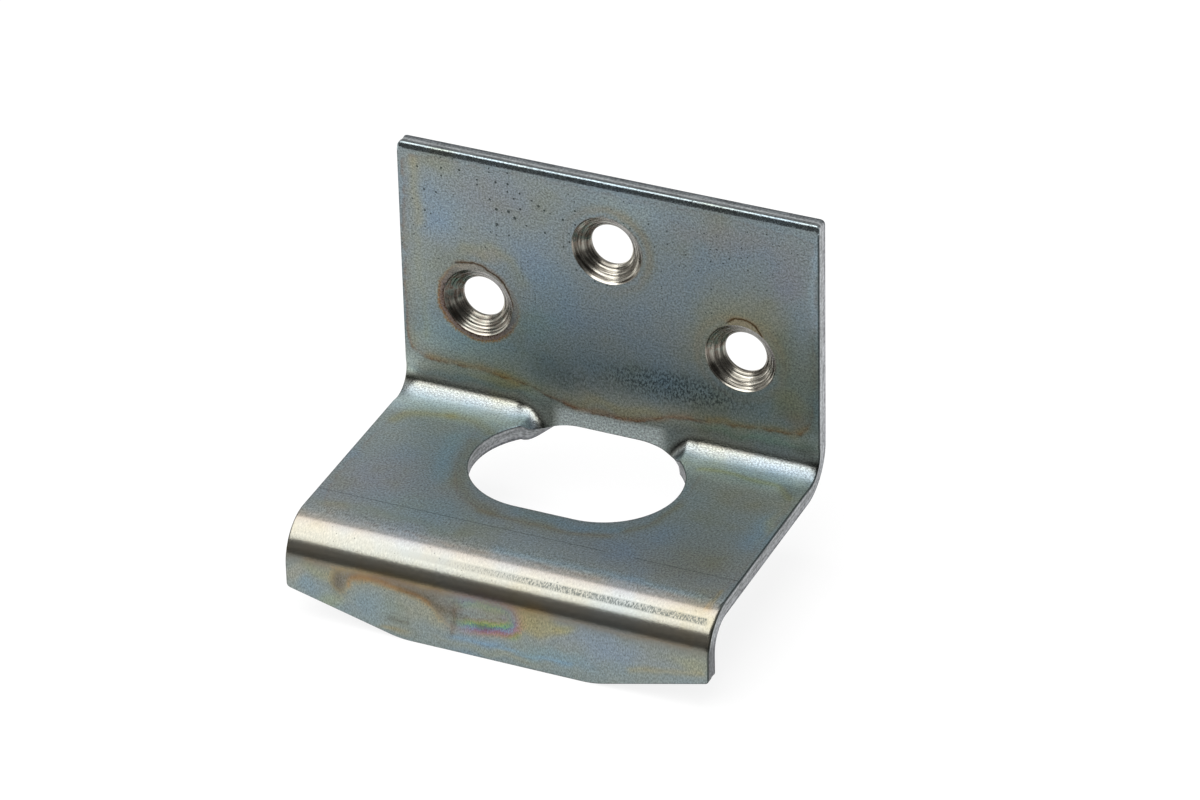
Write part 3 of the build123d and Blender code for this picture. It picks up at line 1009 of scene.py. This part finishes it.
# What the film shows over the plating, laid one after the other: the value it follows, over which
# range in millimetres, how strongly, and its colours with their own strengths.
FILM_LAYERS = (
    # The film's edge: a thin brown tide line, faintly straw inside it.
    ("film_edge", -3.0, 3.0, "tide_here", (
        (0.0, "#7f949a", 0.0), (0.45, "#78898a", 0.2), (0.485, "#7a6c5e", 0.7), (0.52, "#7e6752", 0.85),
        (0.56, "#8e856c", 0.5), (0.68, "#949278", 0.3), (1.0, "#8c9ba3", 0.0),
    )),
    # Rust that bled from the left countersink: pinkish brown, and orange where it stopped.
    ("ring", -0.2, 1.8, "rust", (
        (0.0, "#3c2e26", 1.0), (0.13, "#4a382e", 1.0), (0.22, "#76625a", 0.9), (0.36, "#7a665a", 0.85),
        (0.44, "#86603a", 0.95), (0.5, "#907650", 0.7), (0.62, "#8c8a70", 0.25), (0.8, "#8c9ba3", 0.0),
    )),
    # Faint rings round the other two.
    ("ring", -0.2, 4.2, "halo", (
        (0.0, "#5a5044", 0.9), (0.06, "#7a6e60", 0.6), (0.12, "#8a928e", 0.2), (0.2, "#8f8a78", 0.6),
        (0.32, "#918a76", 0.75), (0.42, "#8c8c7a", 0.5), (0.55, "#84908e", 0.2), (1.0, "#8c9ba3", 0.0),
    )),
    # The burr above the outer countersinks: beige metal inside a dark line of painted shade along its raised
    # edge.
    ("burr_line", -1.5, 0.6, "burr", (
        (0.0, "#96928a", 0.5), (0.6, "#9c968a", 0.7), (0.69, "#4a3728", 0.95), (0.75, "#524030", 0.9),
        (0.81, "#8a7c6c", 0.5), (1.0, "#8c8a80", 0.0),
    )),
    # The thick tongue of film on the lip: straw, pink, blue and green at its right end.
    ("film_order", -2.0, 2.6, "thick_here", (
        (0.0, "#9aa095", 0.0), (0.18, "#a1977a", 0.35), (0.3, "#a5806a", 0.75), (0.4, "#9a728c", 0.8),
        (0.49, "#7480a4", 0.75), (0.58, "#6a9c78", 0.85), (0.67, "#909e54", 0.8), (0.77, "#8e8068", 0.75),
        (0.88, "#80827a", 0.7), (1.0, "#7e7c74", 0.7),
    )),
    ("film_order", -2.0, 2.6, "thin_film", (
        (0.0, "#9aa095", 0.0), (0.32, "#a09a7c", 0.2), (0.41, "#a2946a", 0.45), (0.47, "#90805f", 0.6),
        (0.55, "#7c7264", 0.7), (0.7, "#756f64", 0.75), (1.0, "#7c766c", 0.7),
    )),
)
# The lighter tone given to the strip behind the slot.
LIGHTER_STRIP = "#bec6c5"
# The dark marks, and the painted shade along the edges, take this colour.
DIRT_AND_EDGE_SHADE = "#2c3433"
CLOUD_TINTS = ((0.32, "#b7bfc9"), (0.46, "#bcbfc1"), (0.56, "#bfbfbd"), (0.68, "#bdbaae"))
SPARKLE = {"From Min": 0.35, "From Max": 0.65, "To Min": 0.6, "To Max": 1.4}
PIT_CELL = 0.8              # each cell of this size has one pit at most
BUMP = 0.04 * MM
MARKS = (
    "seen", "lean_s", "patch", "tongue", "thick_film", "rim", "rust", "halo", "burr", "burr_gap", "tide",
    "speck", "pits",
)


def zinc_plated_steel():
    """Zinc plate under a thin passivating film: grey metal, tinted blue and straw by the film,
    with painted light and shade over the folds and a dark line of painted shade along the edges.
    """
    material, tree, shader = new_metal("zinc_plated_steel")
    known = {name: add(tree, "ShaderNodeAttribute", attribute_name=name).outputs["Fac"] for name in MARKS}
    blank = add(tree, "ShaderNodeAttribute", attribute_name="blank").outputs["Vector"]
    at = add(tree, "ShaderNodeSeparateXYZ", {0: blank})
    known.update(FINISH_NUMBERS, x=at.outputs[0], s=at.outputs[1], n=at.outputs[2])
    for name, (size, drawn_out, detail, roughness) in NOISES.items():
        stretched = add(
            tree, "ShaderNodeVectorMath", {0: blank, 1: (1, 1 / drawn_out, 1)}, operation="MULTIPLY",
        )
        spots = add(
            tree, "ShaderNodeTexNoise",
            {"Vector": stretched.outputs[0], "Scale": 1 / size, "Detail": detail, "Roughness": roughness},
        )
        known[name] = spots.outputs["Fac"]
    cell = add(
        tree, "ShaderNodeTexVoronoi", {"Vector": blank, "Scale": 1 / PIT_CELL}, voronoi_dimensions="2D",
    )
    known["pit_gap"] = cell.outputs["Distance"]
    known["chosen"] = add(tree, "ShaderNodeSeparateXYZ", {0: cell.outputs["Color"]}).outputs[0]
    add_sums(tree, SCRATCH_SUMS, known)
    for name, (value, start, end) in FADES.items():
        inputs = {"Value": known[value], "From Min": start, "From Max": end}
        known[name] = add(tree, "ShaderNodeMapRange", inputs, interpolation_type="SMOOTHSTEP").outputs[0]
    add_sums(tree, FINISH_SUMS, known)

    # The plating's tone down the blank, with its painted light and shade over the folds, in clouds,
    #     # and lighter on the strip behind the slot.
    along = add(
        tree, "ShaderNodeMapRange", {"Value": known["lean_s"], "From Min": 0.0, "From Max": BLANK_END},
    )
    base = fill_ramp(
        add(tree, "ShaderNodeValToRGB", {0: along.outputs[0]}),
        [(place / BLANK_END, code) for place, code in PLATING_AND_PAINTED_LIGHT],
    ).outputs["Color"]
    base = add(
        tree, "ShaderNodeMix", {0: known["seen"], 6: colour(UNSEEN_TONE), 7: base}, data_type="RGBA",
    ).outputs[2]
    tint = fill_ramp(add(tree, "ShaderNodeValToRGB", {0: known["cloud"]}), CLOUD_TINTS).outputs["Color"]
    base = add(tree, "ShaderNodeVectorMath", {0: base, 1: tint}, operation="MULTIPLY").outputs[0]
    base = add(tree, "ShaderNodeVectorMath", {0: base, "Scale": PLATING_LIFT}, operation="SCALE").outputs[0]
    base = add(
        tree, "ShaderNodeMix", {0: known["strip"], 6: base, 7: colour(LIGHTER_STRIP)}, data_type="RGBA",
    ).outputs[2]

    # The film's layers, and its stains with a few spots of painted light and shade.
    for value, low, high, weight, stops in FILM_LAYERS:
        place = add(tree, "ShaderNodeMapRange", {"Value": known[value], "From Min": low, "From Max": high})
        film = fill_ramp(add(tree, "ShaderNodeValToRGB", {0: place.outputs[0]}), stops)
        inputs = {0: film.outputs["Alpha"], 1: known[weight]}
        share = add(tree, "ShaderNodeMath", inputs, operation="MULTIPLY")
        inputs = {0: share.outputs[0], 6: base, 7: film.outputs["Color"]}
        base = add(tree, "ShaderNodeMix", inputs, data_type="RGBA").outputs[2]
    stain_and_light = add(tree, "ShaderNodeAttribute", attribute_name="stain_and_light").outputs["Color"]
    base = add(tree, "ShaderNodeVectorMath", {0: base, 1: stain_and_light}, operation="MULTIPLY").outputs[0]

    # Pin-prick pits, a dusting of dark specks above the fold, a long scratch on the shelf, and a
    #     # dark line of painted shade along the rolled and cut edges.
    base = add(
        tree, "ShaderNodeMix", {0: known["dark"], 6: base, 7: colour(DIRT_AND_EDGE_SHADE)}, data_type="RGBA",
    ).outputs[2]
    sparkle = add(tree, "ShaderNodeMapRange", {"Value": known["texture_here"], **SPARKLE}).outputs[0]
    base = add(tree, "ShaderNodeVectorMath", {0: base, 1: sparkle}, operation="MULTIPLY").outputs[0]
    tree.links.new(base, shader.inputs["Base Color"])

    # The folds and the rolled top edge are burnished by the press; the strip behind the slot is torn.
    tree.links.new(known["rough"], shader.inputs["Roughness"])
    bump = add(tree, "ShaderNodeBump", {"Height": known["height"], "Strength": 0.5, "Distance": BUMP})
    tree.links.new(bump.outputs[0], shader.inputs["Normal"])
    return material


# The cut's tones from the back to the punched face: smooth where it sheared, dark at both rims.
CUT_TONES = (
    (0.0, "#3c4046"), (0.05, "#8f9296"), (0.2, "#aeb0b3"), (0.45, "#acafb1"), (0.6, "#a2a5a7"),
    (0.72, "#aaadaf"), (0.82, "#c0c3c5"), (0.9, "#8c9093"), (0.96, "#3a3e42"),
)
# The top edge was sheared with a worn blade: bands of light and dark run along it.
TOP_CUT_TONES = (
    (0.0, "#3c4046"), (0.06, "#606467"), (0.15, "#6c7073"), (0.3, "#84898b"), (0.42, "#a4a8aa"),
    (0.5, "#b4b8b9"), (0.55, "#a0a4a5"), (0.61, "#7c8082"), (0.68, "#686c6e"), (0.77, "#686b6d"),
    (0.84, "#8e9192"), (0.92, "#c6c8c8"),
)
TOP_CUT_END = 0.25
# Painted shade on the cut down the blank, as shares of BLANK_END: a little darker from the back
# # fold along the shelf, and darker on the lip.
PAINTED_CUT_SHADE = (
    (0.38, "#ffffff"), (0.46, "#e0e0e0"), (0.8, "#e6e6e6"), (0.825, "#ffffff"), (0.85, "#ffffff"),
    (0.87, "#b4b4b4"),
)
CUT_STREAKS = {"From Min": 0.75, "From Max": 1.25, "To Min": 0.5, "To Max": 1.45}
CUT_ROUGH = 0.5
STREAK_SIZE = (0.3, 0.3, 4.0)   # noise cells a millimetre: the streaks run along the cut
TORN_SIZE = 0.3


def sheared_steel_edge():
    """The cut through the sheet, plated: a smooth sheared band, then a torn, darker one, with painted shade
    down the blank.
    """
    material, tree, shader = new_metal("sheared_steel_edge")
    shader.inputs["Roughness"].default_value = CUT_ROUGH
    blank = add(tree, "ShaderNodeAttribute", attribute_name="blank").outputs["Vector"]
    at = add(tree, "ShaderNodeSeparateXYZ", {0: blank})
    drawn = add(tree, "ShaderNodeVectorMath", {0: blank, 1: STREAK_SIZE}, operation="MULTIPLY").outputs[0]
    lines = add(tree, "ShaderNodeTexNoise", {"Vector": drawn, "Scale": 1.0, "Detail": 3.0}).outputs["Fac"]
    torn = add(
        tree, "ShaderNodeTexNoise", {"Vector": blank, "Scale": 1 / TORN_SIZE, "Detail": 2.0},
    ).outputs["Fac"]
    place = add(tree, "ShaderNodeMapRange", {"Value": at.outputs[2], "From Min": -HALF, "From Max": HALF})
    side = fill_ramp(add(tree, "ShaderNodeValToRGB", {0: place.outputs[0]}), CUT_TONES).outputs["Color"]
    top = fill_ramp(add(tree, "ShaderNodeValToRGB", {0: place.outputs[0]}), TOP_CUT_TONES).outputs["Color"]
    inputs = {0: at.outputs[1], 1: TOP_CUT_END}
    on_top = add(tree, "ShaderNodeMath", inputs, operation="LESS_THAN").outputs[0]
    band = add(tree, "ShaderNodeMix", {0: on_top, 6: side, 7: top}, data_type="RGBA").outputs[2]
    reach = add(tree, "ShaderNodeMapRange", {"Value": at.outputs[1], "From Min": 0.0, "From Max": BLANK_END})
    lit = fill_ramp(add(tree, "ShaderNodeValToRGB", {0: reach.outputs[0]}), PAINTED_CUT_SHADE).outputs["Color"]
    band = add(tree, "ShaderNodeVectorMath", {0: band, 1: lit}, operation="MULTIPLY").outputs[0]
    both = add(tree, "ShaderNodeMath", {0: lines, 1: torn}, operation="ADD").outputs[0]
    shade = add(tree, "ShaderNodeMapRange", {"Value": both, **CUT_STREAKS}).outputs[0]
    base = add(tree, "ShaderNodeVectorMath", {0: band, 1: shade}, operation="MULTIPLY").outputs[0]
    tree.links.new(base, shader.inputs["Base Color"])
    bump = add(tree, "ShaderNodeBump", {"Height": both, "Strength": 0.4, "Distance": BUMP})
    tree.links.new(bump.outputs[0], shader.inputs["Normal"])
    return material


TURNED_TONES = ((0.36, "#4e4942"), (0.46, "#7c786f"), (0.54, "#aaa69b"), (0.64, "#d2cec2"))
DRIED_TONES = (
    (0.36, "#5c6e66"), (0.44, "#7c8078"), (0.5, "#6e6860"), (0.58, "#6a5446"), (0.66, "#86807a"),
)
# The colour of the painted shade in the countersinks' wedges.
PAINTED_WEDGE_SHADE = "#2e2a26"
SINK_COVER = 0.6
RING_SIZE = (0.25, 0.25, 7.0)   # noise cells a millimetre: the rings run round the cone
DRIED_SIZE = 0.7
# How much the painted highlight lifts one side of each countersink.
GLINT_LIFT = 1.5
SINK_ROUGH = {"From Min": 0.3, "From Max": 0.7, "To Min": 0.16, "To Max": 0.34}
GROOVE_BUMP = 0.05 * MM


def turned_countersink():
    """The cone that the countersink cut: bright turned steel, dulled where the bath dried, with painted
    shade in dark wedges and a painted highlight on one side.
    """
    material, tree, shader = new_metal("turned_countersink")
    blank = add(tree, "ShaderNodeAttribute", attribute_name="blank").outputs["Vector"]
    painted_shade_wedge, grime, painted_glint = (
        add(tree, "ShaderNodeAttribute", attribute_name=name).outputs["Fac"]
        for name in ("painted_shade_wedge", "grime", "painted_glint")
    )
    down = add(tree, "ShaderNodeVectorMath", {0: blank, 1: RING_SIZE}, operation="MULTIPLY").outputs[0]
    rings = add(tree, "ShaderNodeTexNoise", {"Vector": down, "Scale": 1.0, "Detail": 2.0}).outputs["Fac"]
    dirt = add(
        tree, "ShaderNodeTexNoise", {"Vector": blank, "Scale": 1 / DRIED_SIZE, "Detail": 4.0},
    ).outputs["Fac"]
    turned = fill_ramp(add(tree, "ShaderNodeValToRGB", {0: rings}), TURNED_TONES).outputs["Color"]
    film = fill_ramp(add(tree, "ShaderNodeValToRGB", {0: dirt}), DRIED_TONES).outputs["Color"]
    inputs = {0: grime, 1: SINK_COVER}
    cover = add(tree, "ShaderNodeMath", inputs, operation="MULTIPLY", use_clamp=True).outputs[0]
    base = add(tree, "ShaderNodeMix", {0: cover, 6: turned, 7: film}, data_type="RGBA").outputs[2]
    # Painted shade darkens the wedges, and a painted highlight lifts one side.
    dark = add(tree, "ShaderNodeMath", {0: painted_shade_wedge, 1: SINK_COVER}, operation="MULTIPLY").outputs[0]
    base = add(tree, "ShaderNodeMix", {0: dark, 6: base, 7: colour(PAINTED_WEDGE_SHADE)}, data_type="RGBA").outputs[2]
    lift = add(tree, "ShaderNodeMapRange", {"Value": painted_glint, "To Min": 1.0, "To Max": GLINT_LIFT}).outputs[0]
    base = add(tree, "ShaderNodeVectorMath", {0: base, 1: lift}, operation="MULTIPLY").outputs[0]
    tree.links.new(base, shader.inputs["Base Color"])
    rough = add(tree, "ShaderNodeMapRange", {"Value": dirt, **SINK_ROUGH}).outputs[0]
    tree.links.new(rough, shader.inputs["Roughness"])
    bump = add(tree, "ShaderNodeBump", {"Height": rings, "Strength": 0.5, "Distance": GROOVE_BUMP})
    tree.links.new(bump.outputs[0], shader.inputs["Normal"])
    return material


# ------------------------------------------------------------------ stage
ROOM = 0.7                  # the room's light, and how dark it is straight in front
DARK = 0.12
DARK_EDGE = (0.1, 0.55)
PAPER = "#ebebeb"
PAPER_BACK = 0.9            # the paper's reach, in metres
PAPER_FRONT = -0.15
PAPER_SIDE = 0.9
PAPER_SEEN = 0.8            # how much of the paper is plain white to the camera, and in the metal
PAPER_MIRRORED = 0.15
PAPER_GLOW = 1.06
SOFTBOX_HEIGHT = 0.9
SOFTBOX_SPAN = ((-1.05, 0.4), (-1.28, 0.19))    # across and forward, for each metre of height
SOFTBOX_GLOW = 2.85
CAMERA_LENS = 192.11
CAMERA_PLACE = Vector((272.46, -601.51, 405.12)) * MM
CAMERA_AXES = (             # to its right, up, and back from where it looks
    (0.91476, 0.40347, -0.02062),
    (-0.19925, 0.49498, 0.84575),
    (0.35144, -0.76955, 0.53318),
)


def white_paper():
    """Matt white paper that keeps a soft shadow, and is near white to the camera."""
    material = bpy.data.materials.new("white_paper")
    material.use_nodes = True
    tree = material.node_tree
    tree.nodes.clear()
    path = add(tree, "ShaderNodeLightPath").outputs
    inputs = {0: path["Is Glossy Ray"], 1: path["Is Transmission Ray"]}
    shiny = add(tree, "ShaderNodeMath", inputs, operation="MAXIMUM").outputs[0]
    faint = add(tree, "ShaderNodeMath", {0: shiny, 1: PAPER_MIRRORED}, operation="MULTIPLY").outputs[0]
    inputs = {0: path["Is Camera Ray"], 1: PAPER_SEEN}
    white = add(tree, "ShaderNodeMath", inputs, operation="MULTIPLY").outputs[0]
    lift = add(tree, "ShaderNodeMath", {0: faint, 1: white}, operation="MAXIMUM").outputs[0]
    glow = add(tree, "ShaderNodeEmission", {"Color": colour("#ffffff"), "Strength": PAPER_GLOW})
    paper = add(tree, "ShaderNodeBsdfDiffuse", {"Color": colour(PAPER)})
    both = add(tree, "ShaderNodeMixShader", {0: lift, 1: paper.outputs[0], 2: glow.outputs[0]})
    add(tree, "ShaderNodeOutputMaterial", {"Surface": both.outputs[0]})
    return material


def build_floor():
    """The paper that the lip's lower edge stands on."""
    mesh = bpy.data.meshes.new("floor")
    level = LIP_BOTTOM * MM
    corners = [
        (-PAPER_SIDE, PAPER_FRONT, level), (PAPER_SIDE, PAPER_FRONT, level),
        (PAPER_SIDE, PAPER_BACK, level), (-PAPER_SIDE, PAPER_BACK, level),
    ]
    mesh.from_pydata(corners, [], [(0, 1, 2, 3)])
    mesh.materials.append(white_paper())
    floor = bpy.data.objects.new("floor", mesh)
    bpy.context.scene.collection.objects.link(floor)


def build_world():
    """An even room that darkens straight in front, behind the camera, and is white to the camera."""
    world = bpy.data.worlds.new("studio")
    bpy.context.scene.world = world
    world.use_nodes = True
    tree = world.node_tree
    tree.nodes.clear()
    path = add(tree, "ShaderNodeLightPath")
    way = add(tree, "ShaderNodeTexCoord").outputs["Generated"]
    front = add(tree, "ShaderNodeVectorMath", {0: way, 1: (0.0, -1.0, 0.0)}, operation="DOT_PRODUCT")
    inputs = {"Value": front.outputs["Value"], "From Min": DARK_EDGE[0], "From Max": DARK_EDGE[1]}
    inputs |= {"To Min": ROOM, "To Max": DARK}
    room = add(tree, "ShaderNodeMapRange", inputs, interpolation_type="SMOOTHSTEP").outputs[0]
    inputs = {0: path.outputs["Is Camera Ray"], 2: room, 3: 1.0}
    level = add(tree, "ShaderNodeMix", inputs, data_type="FLOAT").outputs[0]
    sky = add(tree, "ShaderNodeBackground", {"Color": colour("#ffffff"), "Strength": level})
    add(tree, "ShaderNodeOutputWorld", {"Surface": sky.outputs[0]})


def build_lamps():
    """One large softbox overhead, a little in front and to the left."""
    (left, right), (front, back) = SOFTBOX_SPAN
    data = bpy.data.lights.new("overhead_softbox", "AREA")
    data.shape = "RECTANGLE"
    data.size = (right - left) * SOFTBOX_HEIGHT
    data.size_y = (back - front) * SOFTBOX_HEIGHT
    data.energy = SOFTBOX_GLOW * math.pi * data.size * data.size_y
    lamp = bpy.data.objects.new("overhead_softbox", data)
    lamp.location = Vector(((left + right) / 2, (front + back) / 2, 1)) * SOFTBOX_HEIGHT
    bpy.context.scene.collection.objects.link(lamp)


def build_camera():
    data = bpy.data.cameras.new("camera")
    data.lens = CAMERA_LENS
    data.sensor_width = 36.0
    data.clip_end = 10.0
    camera = bpy.data.objects.new("camera", data)
    turn = Matrix(CAMERA_AXES).transposed().to_4x4()
    camera.matrix_world = Matrix.Translation(CAMERA_PLACE) @ turn
    bpy.context.scene.collection.objects.link(camera)
    bpy.context.scene.camera = camera


sheet = pressed_bracket(zinc_plated_steel(), sheared_steel_edge(), turned_countersink())
map_finish(sheet)
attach(sheet, "root")
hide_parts("bracket")
bpy.context.scene.view_settings.view_transform = "Standard"
build_floor()
build_world()
build_lamps()
build_camera()
